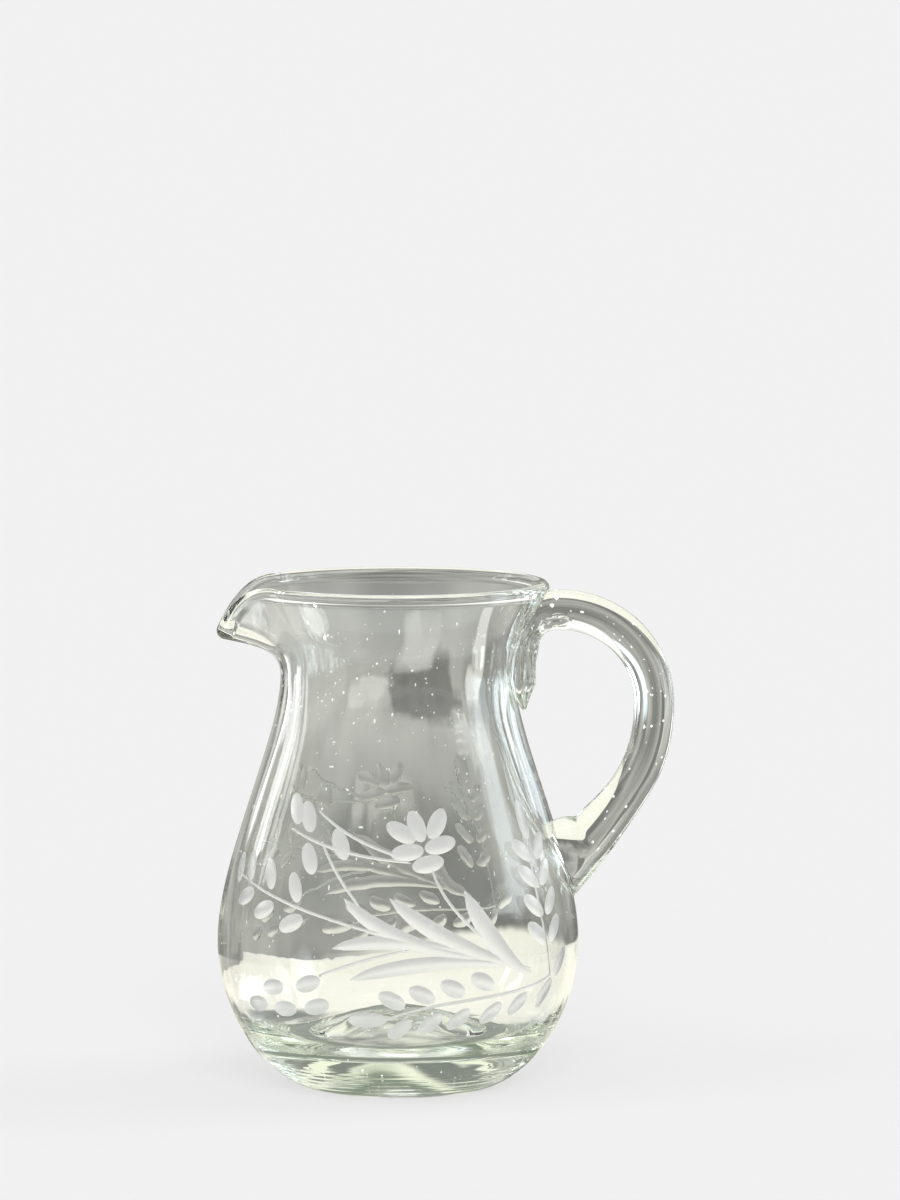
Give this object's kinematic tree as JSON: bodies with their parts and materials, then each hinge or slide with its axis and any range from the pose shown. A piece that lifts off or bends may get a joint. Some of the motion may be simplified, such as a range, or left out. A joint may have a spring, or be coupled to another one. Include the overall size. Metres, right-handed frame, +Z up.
{
  "type": "cocktail pitcher",
  "caption": "Small hand-blown clear glass pitcher: pear-shaped body, flared rim with a pulled drooping spout, applied rod handle folded down the neck, wheel-cut flower sprays.",
  "frame": {"origin": "centre of the flat ring that the pitcher stands on, on the axis of the body", "axes": "+Z up along the axis of the body, +X towards the handle, -X towards the spout"},
  "size_m": [0.1452, 0.115, 0.16],
  "materials": {
    "blown_glass": "gloss",
    "rod_glass": "gloss"
  },
  "bodies": {
    "root": {"blown_body": "blown_glass", "applied_handle": "rod_glass"}
  },
  "joints": []
}
